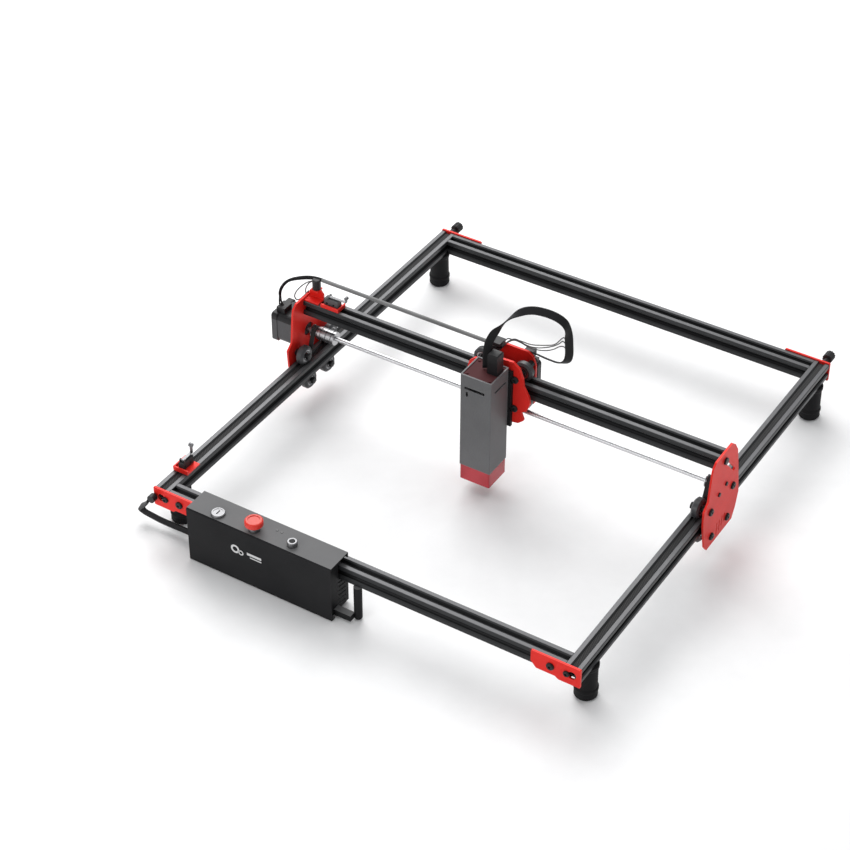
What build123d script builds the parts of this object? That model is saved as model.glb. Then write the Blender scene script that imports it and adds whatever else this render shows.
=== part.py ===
from build123d import *
import os
from math import acos, atan2, degrees, hypot, radians, tan

# Desktop laser cutter: an open frame of slotted aluminium profiles, a gantry that rolls along Y on
# V-wheels, a carriage that rolls along X on the gantry's beam, and a diode laser head on the carriage.
# Millimetres. While building, x = 0 and y = 0 are the frame's front left corner and z = 0 is the top
# of the frame. place_all() then moves everything so that the origin is the centre of the footprint.

# ---------------------------------------------------------------- driving dimensions
FRAME_W = 570.0            # outer width, X
FRAME_D = 637.0            # outer depth, Y
PROFILE = 20.0             # side of the square slotted profile
FLOOR = -68.5              # the surface the feet stand on
FOOT_INSET_FRONT = 33.0    # foot centre from the frame's front
FOOT_INSET_BACK = 23.0     # foot centre from the frame's back

GANTRY_Y = 321.0           # middle of the gantry at rest
Y_TRAVEL = (-205.0, 215.0)
X_TRAVEL = (-180.0, 220.0)
FOCUS_TRAVEL = (-12.0, 25.0)

WHEEL_R = 12.5
WHEEL_W = 10.2
WHEEL_BORE = 2.55
AXLE_R = 2.5
WHEEL_OFF = 11.2           # axle to the face of the profile it rolls on
SLOT_MOUTH = 4.6           # half width of the slot at the surface
SLOT_THROAT = 3.1          # half width where the V ends
SLOT_LIP = 1.6             # depth of the V
BELT_W = 6.0
BELT_T = 1.3
BELT_DEPTH = 2.6           # belt centreline below the face of the profile

LEFT_WHEEL_X = PROFILE / 2
RIGHT_WHEEL_X = FRAME_W - PROFILE / 2
UPPER_WHEEL_Z = WHEEL_OFF
LOWER_WHEEL_Z = -PROFILE - WHEEL_OFF
UPPER_SPREAD = 28.5        # half distance between a plate's upper wheels
LOWER_SPREAD = 20.5
PLATE_T = 2.5
PLATE_GAP = 1.2            # rail face to gantry plate

SHAFT_Z = 29.5             # drive shaft above the rails
SHAFT_R = 3.0
PULLEY_R = 6.4             # pitch radius of a 20 tooth pulley

BEAM_TOP = 77.6
BEAM_Y = GANTRY_Y
BEAM_MID = BEAM_TOP - PROFILE / 2
X_WHEEL_SPREAD = 27.5
X_WHEEL_TOP = BEAM_TOP + WHEEL_OFF
X_WHEEL_LOW = BEAM_TOP - PROFILE - WHEEL_OFF
CARRIAGE_X = 282.0         # middle of the carriage at rest
CARRIAGE_T = 3.0
FRONT_PLATE_Y = 300.0      # front face of the carriage's front plate
BACK_PLATE_Y = 339.0       # front face of the carriage's back plate

MOTOR_SIDE = 42.0
Y_MOTOR_LEN = 39.8
X_MOTOR_LEN = 33.0

LASER_W = 42.0
LASER_D = 40.0
LASER_TOP = 107.3
LASER_LOW = -28.5
SHIELD_LOW = -50.5
LASER_BACK = 295.5
SKIN = 1.6                 # sheet thickness of the laser housing

TRUNK_Y = 329.0            # the straight cable above the beam
TRUNK_Z = 105.0

BOX_X = (61.5, 261.5)      # control box, left and right ends
BOX_FRONT = -21.0
BOX_TOP = 10.5
BOX_LOW = -67.3
BOX_BACK = 19.0
BOX_LIP = 15.0             # how far the cover reaches over the front profile
SHEET = 1.5
KEY_AT = (99.5, -9.8)      # controls on the cover, (x, y)
STOP_AT = (150.2, -9.8)
POWER_AT = (202.0, -8.8)

nodes = {}                 # node name: shape, in the order they are written


# ---------------------------------------------------------------- helpers
def block(x0, x1, y0, y1, z0, z1):
    """Box between two corners."""
    return Pos((x0 + x1) / 2, (y0 + y1) / 2, (z0 + z1) / 2) * Box(x1 - x0, y1 - y0, z1 - z0)


def rod_x(r, x0, x1, y, z):
    return Pos((x0 + x1) / 2, y, z) * Rot(0, 90, 0) * Cylinder(r, x1 - x0)


def rod_y(r, y0, y1, x, z):
    return Pos(x, (y0 + y1) / 2, z) * Rot(90, 0, 0) * Cylinder(r, y1 - y0)


def rod_z(r, z0, z1, x, y):
    return Pos(x, y, (z0 + z1) / 2) * Cylinder(r, z1 - z0)


def plate_x(points, x0, thick, radius):
    """Plate in the YZ plane from (y, z) points, from x0 towards +X, with rounded corners."""
    face = Plane.YZ * make_face(Polyline(*points, close=True))
    face = fillet(face.vertices(), radius) if radius else face
    return Pos(x0, 0, 0) * extrude(face, thick)


def plate_y(points, y0, thick, radius):
    """Plate in the XZ plane from (x, z) points, from y0 towards +Y, with rounded corners."""
    face = Plane.XZ * make_face(Polyline(*points, close=True))
    face = fillet(face.vertices(), radius) if radius else face
    return Pos(0, y0 + thick, 0) * extrude(face, thick)


def group(shapes):
    """Several separate solids in one node."""
    return Compound([solid for shape in shapes for solid in shape.solids()])


def slot_x(x0, thick, start, end, radius):
    """Round-ended cutter in the YZ plane between two (y, z) centres, from x0 towards +X."""
    (y0, z0), (y1, z1) = start, end
    plane = Plane(origin=(x0, (y0 + y1) / 2, (z0 + z1) / 2), x_dir=(0, y1 - y0, z1 - z0), z_dir=(1, 0, 0))
    return extrude(plane * SlotCenterToCenter(hypot(y1 - y0, z1 - z0), 2 * radius), thick)


def lead(points, radius, name):
    """Round cable: straight runs joined by tangent arcs as large as the runs allow."""
    corners = [Vector(*p) for p in points]
    radii = []
    for before, here, after in zip(corners, corners[1:], corners[2:]):
        first, second = here - before, after - here
        half_turn = radians(first.get_angle(second)) / 2
        radii.append(0.45 * min(first.length, second.length) / tan(half_turn))
    path = FilletPolyline(*corners, radius=radii)
    tube = sweep(Plane(origin=path @ 0, z_dir=path % 0) * Circle(radius), path=path)
    print(f"{name}: length {path.length:.0f} mm, radii {[round(r) for r in radii]}")
    return tube


# ---------------------------------------------------------------- slotted profile
def slot_profile(length):
    """Square profile along +Z from the origin, with a V-slot in each face and a bore."""
    slot = make_face(Polyline(
        (-SLOT_MOUTH - SLOT_LIP, SLOT_LIP), (-SLOT_THROAT, -SLOT_LIP), (-5.4, -SLOT_LIP), (-5.4, -3.3),
        (-2.9, -5.8), (2.9, -5.8), (5.4, -3.3), (5.4, -SLOT_LIP), (SLOT_THROAT, -SLOT_LIP),
        (SLOT_MOUTH + SLOT_LIP, SLOT_LIP), close=True))
    section = RectangleRounded(PROFILE, PROFILE, 0.9)
    for turn in (0, 90, 180, 270):
        section -= Rot(0, 0, turn) * Pos(0, PROFILE / 2, 0) * slot
    return extrude(section - Circle(2.1), length)


def profile_along_x(length, x0, y, z):
    return Pos(x0, y, z) * Rot(0, 90, 0) * slot_profile(length)


def profile_along_y(length, x, y0, z):
    return Pos(x, y0, z) * Rot(-90, 0, 0) * slot_profile(length)


# ---------------------------------------------------------------- frame
def foot(x, y):
    """Turned foot: collar, tapered column, ridge and a softly rounded pad."""
    top = -PROFILE
    outline = [(0, top), (13.4, top), (13.4, top - 4), (12.4, top - 6), (12.8, -53), (14, -54.5),
               (14, -57), (13.2, -58), (13.6, FLOOR + 3), (11.5, FLOOR), (0, FLOOR)]
    return Pos(x, y, 0) * revolve(Plane.XZ * make_face(Polyline(*outline, close=True)), Axis.Z)


def corner_plate(front, left):
    """Corner plate across the end of a rail, with a keyhole for the belt clamp or tensioner."""
    outer = -0.5 if left else FRAME_W + 0.5
    inward = 1 if left else -1
    outline = [(0, 1.6), (61.5, 1.6), (61.5, -14), (54.5, -22), (31, -22), (27, -25), (0, -25)]
    face_y = -PLATE_T if front else FRAME_D
    plate = plate_y([(outer + inward * s, z) for s, z in outline], face_y, PLATE_T, 1.4)
    key_x = outer + inward * 10.5
    cut = rod_y(5.2, face_y - 1, face_y + PLATE_T + 1, key_x, -11)
    cut += block(*sorted((key_x, key_x + inward * 8)), face_y - 1, face_y + PLATE_T + 1, -13.7, -8.3)
    cut += rod_y(2.7, face_y - 1, face_y + PLATE_T + 1, key_x + inward * 8, -11)
    if not front:
        cut = rod_y(2.6, face_y - 1, face_y + PLATE_T + 1, key_x, -1.5 - 4)
    cut += rod_y(2.7, face_y - 1, face_y + PLATE_T + 1, outer + inward * 37, -10.4)
    return plate - cut


def button_screw_y(x, z, face_y, outward, reach, head_r=4.75):
    """Button head screw along Y with a hex recess; outward is -1 for a head facing the front."""
    head_tip = face_y + outward * 2.7
    head = rod_y(head_r, *sorted((face_y, head_tip)), x, z)
    head = chamfer(head.edges().group_by(Axis.Y)[0 if outward < 0 else -1], 1.1)
    socket = extrude(Plane.XZ * RegularPolygon(1.8, 6), 1.6)
    socket = Pos(x, head_tip + (1.6 if outward < 0 else 0), z) * socket
    return head - socket + rod_y(AXLE_R, *sorted((face_y, face_y - outward * reach)), x, z)


def build_frame():
    side_x = (PROFILE / 2, FRAME_W - PROFILE / 2)
    mid_z = -PROFILE / 2
    for name, x in zip(("rail_left", "rail_right"), side_x):
        nodes[name] = profile_along_y(FRAME_D, x, 0, mid_z)
    for name, y in (("profile_front", PROFILE / 2), ("profile_back", FRAME_D - PROFILE / 2)):
        nodes[name] = profile_along_x(FRAME_W - 2 * PROFILE, PROFILE, y, mid_z)
    nodes["feet"] = group(foot(x, y) for x in side_x
                          for y in (FOOT_INSET_FRONT, FRAME_D - FOOT_INSET_BACK))
    plates = [corner_plate(front, left) for front in (True, False) for left in (True, False)]
    # tray of the Y limit switch, on top of the left rail
    tray = block(-0.5, 20.5, 36, 60, 0.05, 1.8) + block(-0.5, 20.5, 36, 37.6, 0.05, 6)
    tray += block(-0.5, 1.1, 36, 60, 0.05, 6)
    nodes["corner_plates"] = group(plates + [tray])
    screws = []
    for x in (36.5, FRAME_W - 36.5):
        screws.append(button_screw_y(x, -10.4, -PLATE_T, -1, 8))
        screws.append(button_screw_y(x, -10.4, FRAME_D + PLATE_T, 1, 8))
    for x in (16.5, FRAME_W - 16.5):
        screws.append(button_screw_y(x, -11, -PLATE_T, -1, PLATE_T - 0.05, 3.9))
    screws.append(rod_y(5, -12, -5, 1.5, -11) + rod_y(2, -5.2, -2.6, 1.5, -11))
    nodes["frame_screws"] = group(screws)
    strips = []
    for x in side_x:
        strips.append(block(x - BELT_W / 2, x + BELT_W / 2, 1, FRAME_D - 1,
                            -BELT_DEPTH - BELT_T / 2, -BELT_DEPTH + BELT_T / 2))
    nodes["y_belts"] = group(strips)
    for name, x in zip(("tension_knob_left", "tension_knob_right"), (10.0, FRAME_W - 10.0)):
        stem_end = FRAME_D + PLATE_T + 14
        grip = rod_y(6.5, stem_end, stem_end + 11, x, -5.5)
        for turn in range(12):
            flute = rod_y(0.9, stem_end - 1, stem_end + 12, 0, 0).moved(Location((6.7, 0, 0)))
            grip -= Pos(x, 0, -5.5) * Rot(0, turn * 30, 0) * flute
        stem = rod_y(2.5, FRAME_D + PLATE_T - 2, stem_end, x, -5.5)
        nodes[name] = grip + stem + rod_y(4.2, FRAME_D + PLATE_T + 0.1, FRAME_D + PLATE_T + 8, x, -5.5)


# ---------------------------------------------------------------- control box
def build_control_box():
    left, right = BOX_X
    bend = 1.6
    outer = [(BOX_LIP, 4), (BOX_LIP, BOX_TOP), (BOX_FRONT + bend, BOX_TOP), (BOX_FRONT, BOX_TOP - bend),
             (BOX_FRONT, BOX_LOW), (BOX_FRONT + 7, BOX_LOW)]
    inner = [(BOX_FRONT + 7, BOX_LOW + SHEET), (BOX_FRONT + SHEET, BOX_LOW + SHEET),
             (BOX_FRONT + SHEET, BOX_TOP - bend - 0.6), (BOX_FRONT + bend + 0.6, BOX_TOP - SHEET),
             (BOX_LIP - SHEET, BOX_TOP - SHEET), (BOX_LIP - SHEET, 4)]
    cover = plate_x(outer + inner, left, right - left, 0)
    controls = {"key": KEY_AT, "stop": STOP_AT, "power": POWER_AT}
    for x, y in controls.values():
        cover -= rod_z(4.7, BOX_TOP - 4, BOX_TOP + 1, x, y)
    leds = [(173.0, 2.8), (179.5, 2.8)]
    for x, y in leds:
        cover -= rod_z(1.6, BOX_TOP - 4, BOX_TOP + 1, x, y)
    nodes["control_cover"] = cover

    # the chassis passes under the front profile; its right end stands back from the cover's edge
    front, back = BOX_FRONT + SHEET + 0.2, BOX_BACK
    bottom = BOX_LOW + SHEET + 0.2
    x0, x1 = left + 1.5, right - 3.5
    body = [(front, bottom), (back, bottom), (back, -22), (-0.3, -22), (-0.3, BOX_TOP - 6),
            (front, BOX_TOP - 6)]
    hollow = [(front + SHEET, bottom + SHEET), (back - SHEET, bottom + SHEET), (back - SHEET, -22 - SHEET),
              (-0.3 - SHEET, -22 - SHEET), (-0.3 - SHEET, BOX_TOP - 6 - SHEET),
              (front + SHEET, BOX_TOP - 6 - SHEET)]
    chassis = plate_x(body, x0, x1 - x0, 0) - plate_x(hollow, x0 + SHEET, x1 - x0 - 2 * SHEET, 0)
    for step in range(6):
        chassis -= Pos(x1 - 1, 6, -27 - 6.4 * step) * Rot(-10, 0, 0) * Box(6, 14, 2.2)
    for x, y in controls.values():
        chassis -= rod_z(5.0, BOX_TOP - 12, BOX_TOP, x, y)
    chassis -= block(x0 - 1, x0 + SHEET + 1, 1, 12, -62.5, -54.5)
    inlet_y = -11.0
    chassis -= rod_x(4.0, x0 - 1, x0 + SHEET + 1, inlet_y, -44)
    nodes["control_chassis"] = chassis

    socket = rod_x(3.9, x0 - 1.2, x0 + 12, inlet_y, -44) - rod_x(2.75, x0 - 2, x0 + 10, inlet_y, -44)
    socket += rod_x(1.0, x0 + 3, x0 + 11, inlet_y, -44)

    deck = -50.0
    board = [socket, block(x0 + 14, x1 - 8, front + 4, back - 4, deck, deck + 1.6)]
    for x, w, h in ((100, 14, 9), (128, 20, 5), (160, 10, 12), (185, 24, 6), (215, 14, 10)):
        board.append(block(x - w / 2, x + w / 2, -8, 8, deck + 1.6, deck + 1.6 + h))
    lamps = block(167, 186, -1, 7.5, BOX_TOP - 5, BOX_TOP - 4)
    for x, y in leds:
        lamps += rod_z(1.4, BOX_TOP - 4, BOX_TOP + 0.4, x, y)
    board.append(lamps)
    nodes["control_board"] = group(board)

    bezels = []
    for name, (r, h) in {"key": (8.5, 3.2), "stop": (7.0, 4.5), "power": (6.2, 6.5)}.items():
        x, y = controls[name]
        ring = rod_z(r, BOX_TOP, BOX_TOP + h, x, y)
        ring = chamfer(ring.edges().group_by(Axis.Z)[-1], 0.8)
        ring += rod_z(4.6, BOX_TOP - 12, BOX_TOP, x, y)
        ring += rod_z(6.4, BOX_TOP - 5.3, BOX_TOP - 1.6, x, y)
        if name == "key":
            ring -= rod_z(6.0, BOX_TOP + 0.3, BOX_TOP + h + 1, x, y)
            ring -= rod_z(3.0, BOX_TOP - 13, BOX_TOP + 1, x, y)
        else:
            ring -= rod_z(3.6, BOX_TOP - 13, BOX_TOP + h + 1, x, y)
        bezels.append(ring)
    nodes["switch_bezels"] = group(bezels)

    x, y = controls["key"]
    rotor = rod_z(5.92, BOX_TOP + 0.4, BOX_TOP + 2.8, x, y) + rod_z(2.9, BOX_TOP - 12, BOX_TOP + 0.5, x, y)
    nodes["key_rotor"] = rotor - block(x - 0.8, x + 0.8, y - 3.6, y + 3.6, BOX_TOP + 1.2, BOX_TOP + 5)
    x, y = controls["stop"]
    head = rod_z(11, BOX_TOP + 8.6, BOX_TOP + 15.0, x, y)
    head = fillet(head.edges().group_by(Axis.Z)[-1], 2.4)
    head -= rod_z(7.4, BOX_TOP + 14.2, BOX_TOP + 16, x, y)
    head += rod_z(6.6, BOX_TOP + 7.0, BOX_TOP + 8.7, x, y)
    nodes["stop_head"] = head + rod_z(3.5, BOX_TOP - 9, BOX_TOP + 7.5, x, y)
    x, y = controls["power"]
    cap = rod_z(3.5, BOX_TOP - 8, BOX_TOP + 6.9, x, y)
    nodes["power_button"] = fillet(cap.edges().group_by(Axis.Z)[-1], 0.8)

    # stay beside the box: a post under the front profile, joined to the chassis by a low bar
    post = rod_z(5, FLOOR + 0.8, -PROFILE - 0.05, 283.5, 0.5)
    post = fillet(post.edges().group_by(Axis.Z)[0], 2.5)
    nodes["box_stay"] = post + block(x1 + 0.2, 281, -12, -3, -65.5, -57.5)


# ---------------------------------------------------------------- belts, wheels and motors
def belt_loop(axle, spread, gap):
    """Belt from one wheel, over the pulley and down to the other wheel: (u, v) plane face.

    The wheels stand at u = -spread and u = +spread with v = 0, and the pulley at u = 0, v = gap.
    """
    wheel_r, pulley_r = WHEEL_R + 0.4 + BELT_T / 2, axle + BELT_T / 2
    reach = hypot(spread, gap)
    lean = degrees(atan2(gap, spread))
    open_angle = degrees(acos((wheel_r + pulley_r) / reach))
    leave, meet = lean - open_angle, 180 + lean - open_angle
    start = -62.0
    right_meet = 180 - meet
    wheel_l = CenterArc((-spread, 0), wheel_r, start, leave - start)
    over = CenterArc((0, gap), pulley_r, meet, right_meet - meet)
    wheel_r_arc = CenterArc((spread, 0), wheel_r, 180 - leave, (180 - start) - (180 - leave))
    path = [wheel_l, Line(wheel_l @ 1, over @ 0), over, Line(over @ 1, wheel_r_arc @ 0), wheel_r_arc]
    bands = []
    for edge in path:
        bands.append(trace(edge, BELT_T))
    whole = bands[0]
    for band in bands[1:]:
        whole += band
    return whole


def v_wheel():
    """V-wheel about the local Z axis, with its bearing recesses."""
    half, crown = WHEEL_W / 2, 2.9
    root_r = 10.1
    outline = [(WHEEL_BORE, -half), (root_r, -half), (WHEEL_R, -crown), (WHEEL_R, crown),
               (root_r, half), (8.0, half), (8.0, half - 1.0), (WHEEL_BORE, half - 1.0)]
    outline[1:1] = [(WHEEL_BORE, -half + 1.0), (8.0, -half + 1.0), (8.0, -half)]
    outline = outline[1:]
    return revolve(Plane.XZ * make_face(Polyline(*outline, close=True)), Axis.Z)


def wheel_x(x, y, z):
    return Pos(x, y, z) * Rot(0, 90, 0) * v_wheel()


def wheel_y(x, y, z):
    return Pos(x, y, z) * Rot(90, 0, 0) * v_wheel()


def pulley(length, bore):
    """Toothed pulley about Z, centred, with flanges."""
    body = Cylinder(PULLEY_R - 0.1, length)
    for turn in range(20):
        body -= Rot(0, 0, turn * 18) * Pos(PULLEY_R - 0.1, 0, 0) * Box(1.1, 0.9, length)
    flanges = Pos(0, 0, length / 2 + 0.5) * Cylinder(PULLEY_R + 1.6, 1.0)
    flanges += Pos(0, 0, -length / 2 - 0.5) * Cylinder(PULLEY_R + 1.6, 1.0)
    return body + flanges - Cylinder(bore, length + 4)


def stepper(length):
    """Stepper motor about Z, its mounting face at z = 0: two end caps and a laminated core."""
    square = RectangleRounded(MOTOR_SIDE, MOTOR_SIDE, 4.5)
    core = RectangleRounded(MOTOR_SIDE - 1.2, MOTOR_SIDE - 1.2, 7.5)
    cap = 8.0
    body = extrude(square, -cap)
    body += Pos(0, 0, -cap) * extrude(core, -(length - 2 * cap))
    body += Pos(0, 0, -length + cap) * extrude(square, -cap)
    for sx in (-1, 1):
        for sy in (-1, 1):
            body -= Pos(sx * 15.5, sy * 15.5, 0) * Cylinder(1.5, 8)
    return body - Pos(0, 0, -7) * Cylinder(AXLE_R + 0.05, 16)


# ---------------------------------------------------------------- gantry
GANTRY_OUTLINE = [
    (290, 75.5), (297, 81.5), (337, 82.5), (346, 75), (354.5, 62), (360, 38), (365.5, 10), (369.5, -11),
    (364.5, -31), (357, -45.5), (291.5, -46.5), (284.5, -37), (276.5, -1.5), (275, 22), (284.5, 30),
    (287, 55), (288.5, 67)]


def wheel_places():
    """(y, z) of a gantry plate's four wheels: the upper pair, then the lower pair."""
    return [(GANTRY_Y - UPPER_SPREAD, UPPER_WHEEL_Z), (GANTRY_Y + UPPER_SPREAD, UPPER_WHEEL_Z),
            (GANTRY_Y - LOWER_SPREAD, LOWER_WHEEL_Z), (GANTRY_Y + LOWER_SPREAD, LOWER_WHEEL_Z)]


def axle_set(wheel_mid, plate_out, plate_in, side):
    """Bolt, spacer and nut of each wheel on a gantry plate; side is +1 for the right plate."""
    parts = []
    for y, z in wheel_places():
        near, far = wheel_mid + side * WHEEL_W / 2, wheel_mid - side * WHEEL_W / 2
        head = rod_x(4.75, *sorted((plate_out, plate_out + side * 2.7)), y, z)
        head = chamfer(head.edges().group_by(Axis.X)[-1 if side > 0 else 0], 1.1)
        socket = Pos(plate_out + side * 1.9, y, z) * Rot(0, 90, 0) * Pos(0, 0, -0.8) * extrude(
            RegularPolygon(1.8, 6), 1.7)
        tip = far - side * 4.4
        bolt = head - socket + rod_x(AXLE_R, *sorted((plate_out, tip)), y, z)
        nut_span = sorted((far - side * 0.3, far - side * 4.2))
        nut = Pos(nut_span[0], y, z) * Rot(0, 90, 0) * extrude(RegularPolygon(4.4, 6),
                                                               nut_span[1] - nut_span[0])
        parts.append(bolt + nut)
        spacer = rod_x(4.0, *sorted((plate_in, near + side * 0.3)), y, z)
        parts.append(spacer - rod_x(WHEEL_BORE, *sorted((plate_in - 1, near + 2 * side)), y, z)
                     - rod_x(WHEEL_BORE, *sorted((plate_in + side, near - side)), y, z))
    return parts


def gantry_plate(x0, right):
    plate = plate_x(GANTRY_OUTLINE, x0, PLATE_T, 0)
    edges = plate.edges().filter_by(Axis.X)
    plate = fillet(edges, 2.2)
    cut_lo, cut_hi = x0 - 1, x0 + PLATE_T + 1
    for y, z in wheel_places():
        plate -= rod_x(WHEEL_BORE, cut_lo, cut_hi, y, z)
    for step, (y, z) in enumerate(((315, -31), (321.5, -29.5), (328, -28), (334.5, -26.5))):
        plate -= block(cut_lo, cut_hi, y - 0.9, y + 0.9, z - 9.5 + step, z + 9.5 - step)
    if right:
        # long slot that starts at the bolt in the end of the beam
        plate -= slot_x(cut_lo, PLATE_T + 2, (BEAM_Y, BEAM_MID), (349, 36), 2.1)
        for y, z in ((GANTRY_Y - 9, SHAFT_Z - 6), (GANTRY_Y + 9, SHAFT_Z - 2)):
            plate -= rod_x(1.6, cut_lo, cut_hi, y, z)
    else:
        plate -= rod_x(9.2, cut_lo, cut_hi, GANTRY_Y, SHAFT_Z)
    return plate


def build_gantry():
    left_in, right_in = -PLATE_GAP, FRAME_W + PLATE_GAP + 1.8
    left_out, right_out = left_in - PLATE_T, right_in + PLATE_T
    nodes["gantry_plate_left"] = gantry_plate(left_out, False)
    nodes["gantry_plate_right"] = gantry_plate(right_in, True)
    nodes["x_beam"] = profile_along_x(right_in - left_in, left_in, BEAM_Y, BEAM_MID)

    screws = axle_set(LEFT_WHEEL_X, left_out, left_in, -1) + axle_set(RIGHT_WHEEL_X, right_out, right_in, 1)
    # bearing block of the drive shaft, and the screws that hold it
    block_x = right_in - 5.5
    bearing = rod_x(9.5, block_x, right_in, GANTRY_Y, SHAFT_Z)
    bearing += block(right_in - 2.5, right_in, GANTRY_Y - 13, GANTRY_Y + 13, SHAFT_Z - 8, SHAFT_Z + 3)
    bearing -= rod_x(SHAFT_R + 0.05, block_x - 1, right_in + 1, GANTRY_Y, SHAFT_Z)
    nodes["shaft_bearing"] = bearing
    for y, z in ((GANTRY_Y - 9, SHAFT_Z - 6), (GANTRY_Y + 9, SHAFT_Z - 2)):
        screws.append(rod_x(1.5, right_in + 0.05, right_out, y, z)
                      + rod_x(2.6, right_out, right_out + 1.6, y, z))
    beam_bolt = rod_x(2.0, right_in - 12, right_out, BEAM_Y, BEAM_MID)
    beam_bolt += rod_x(4.4, right_out, right_out + 2.4, BEAM_Y, BEAM_MID)
    screws.append(beam_bolt)
    nodes["gantry_screws"] = group(screws)

    for side, x in (("left", LEFT_WHEEL_X), ("right", RIGHT_WHEEL_X)):
        for number, (y, z) in enumerate(wheel_places(), 1):
            nodes[f"y_wheel_{side}_{number}"] = wheel_x(x, y, z)

    motor = Pos(left_out, GANTRY_Y, SHAFT_Z) * Rot(0, 90, 0) * stepper(Y_MOTOR_LEN)
    motor += block(left_out - 36, left_out - 24, GANTRY_Y - 14, GANTRY_Y + 2, SHAFT_Z + 20, SHAFT_Z + 28)
    nodes["y_motor"] = motor
    coupling_span = (16.5, 40.0)
    coupling = rod_x(8.6, *coupling_span, GANTRY_Y, SHAFT_Z)
    for x in (20.5, 28.2, 36.0):
        ring = rod_x(9.5, x - 0.5, x + 0.5, GANTRY_Y, SHAFT_Z) - rod_x(7.4, x - 1, x + 1, GANTRY_Y, SHAFT_Z)
        coupling -= ring
    coupling -= rod_x(SHAFT_R, *coupling_span, GANTRY_Y, SHAFT_Z)
    shaft_end = right_in - 0.3
    shaft = rod_x(SHAFT_R, coupling_span[0] + 6, shaft_end, GANTRY_Y, SHAFT_Z)
    stub = rod_x(AXLE_R, left_out - 10, coupling_span[0] + 5.5, GANTRY_Y, SHAFT_Z)
    turning = [shaft, stub, coupling]
    for x, bore in ((LEFT_WHEEL_X, AXLE_R), (RIGHT_WHEEL_X, SHAFT_R)):
        turning.append(Pos(x, GANTRY_Y, SHAFT_Z) * Rot(0, 90, 0) * pulley(8.4, bore))
    nodes["cross_shaft"] = group(turning)

    loops = []
    for x in (LEFT_WHEEL_X, RIGHT_WHEEL_X):
        flat = belt_loop(PULLEY_R, UPPER_SPREAD, SHAFT_Z - UPPER_WHEEL_Z)
        band = extrude(Plane.YZ * flat, BELT_W)
        loops.append(Pos(x - BELT_W / 2, GANTRY_Y, UPPER_WHEEL_Z) * band)
    depth = BEAM_TOP - PROFILE + BELT_DEPTH
    loops.append(block(left_in + 1, right_in - 1, BEAM_Y - BELT_W / 2, BEAM_Y + BELT_W / 2,
                       depth - BELT_T / 2, depth + BELT_T / 2))
    nodes["gantry_belts"] = group(loops)

    # cable post on the left end of the beam: a domed bracket and a black clamp
    post_top = BEAM_TOP + 14.4
    dome = plate_y([(-1, BEAM_TOP), (-1, BEAM_TOP + 9), (3.5, post_top), (15.5, post_top),
                    (20, BEAM_TOP + 9), (20, BEAM_TOP)], 324.8, 2.5, 3)
    dome += block(-1, 20, 313, 327.3, BEAM_TOP, BEAM_TOP + 2)
    dome += block(4.5, 14.5, 320, 331.5, post_top - 1.8, post_top)
    clamp = rod_z(5.4, post_top, post_top + 14, 9.5, 326)
    clamp = fillet(clamp.edges().group_by(Axis.Z)[-1], 1.5)

    # X limit switch on the beam
    tray = block(24, 50, 314, 329, BEAM_TOP, BEAM_TOP + 1.8)
    tray += block(24, 50, 312.2, 314, BEAM_TOP, BEAM_TOP + 5)
    tray += block(48.2, 50, 314, 329, BEAM_TOP, BEAM_TOP + 5)
    nodes["beam_brackets"] = group([dome, tray])
    body_top = BEAM_TOP + 12.4
    switch = block(27, 47, 316.2, 324.8, BEAM_TOP + 1.8, body_top)
    for x in (31, 40.5):
        switch -= rod_y(1.4, 315, 318, x, BEAM_TOP + 6)
    for y in (316.6, 322.9):
        switch += block(30.6, 33.4, y, y + 1.5, body_top, body_top + 3)
    switch -= rod_y(0.87, 316, 325, 32, body_top + 2)
    nodes["beam_fittings"] = group([clamp, switch])
    lever = block(32, 57.6, 318.5, 322.5, body_top + 1.75, body_top + 2.25)
    lever += rod_y(0.8, 316.4, 324.6, 32, body_top + 2)
    lever += block(57, 57.6, 318.5, 322.5, body_top + 1.75, body_top + 6.5)
    nodes["x_switch_lever"] = lever + rod_y(2.3, 318.5, 322.5, 57.5, body_top + 8)


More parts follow.
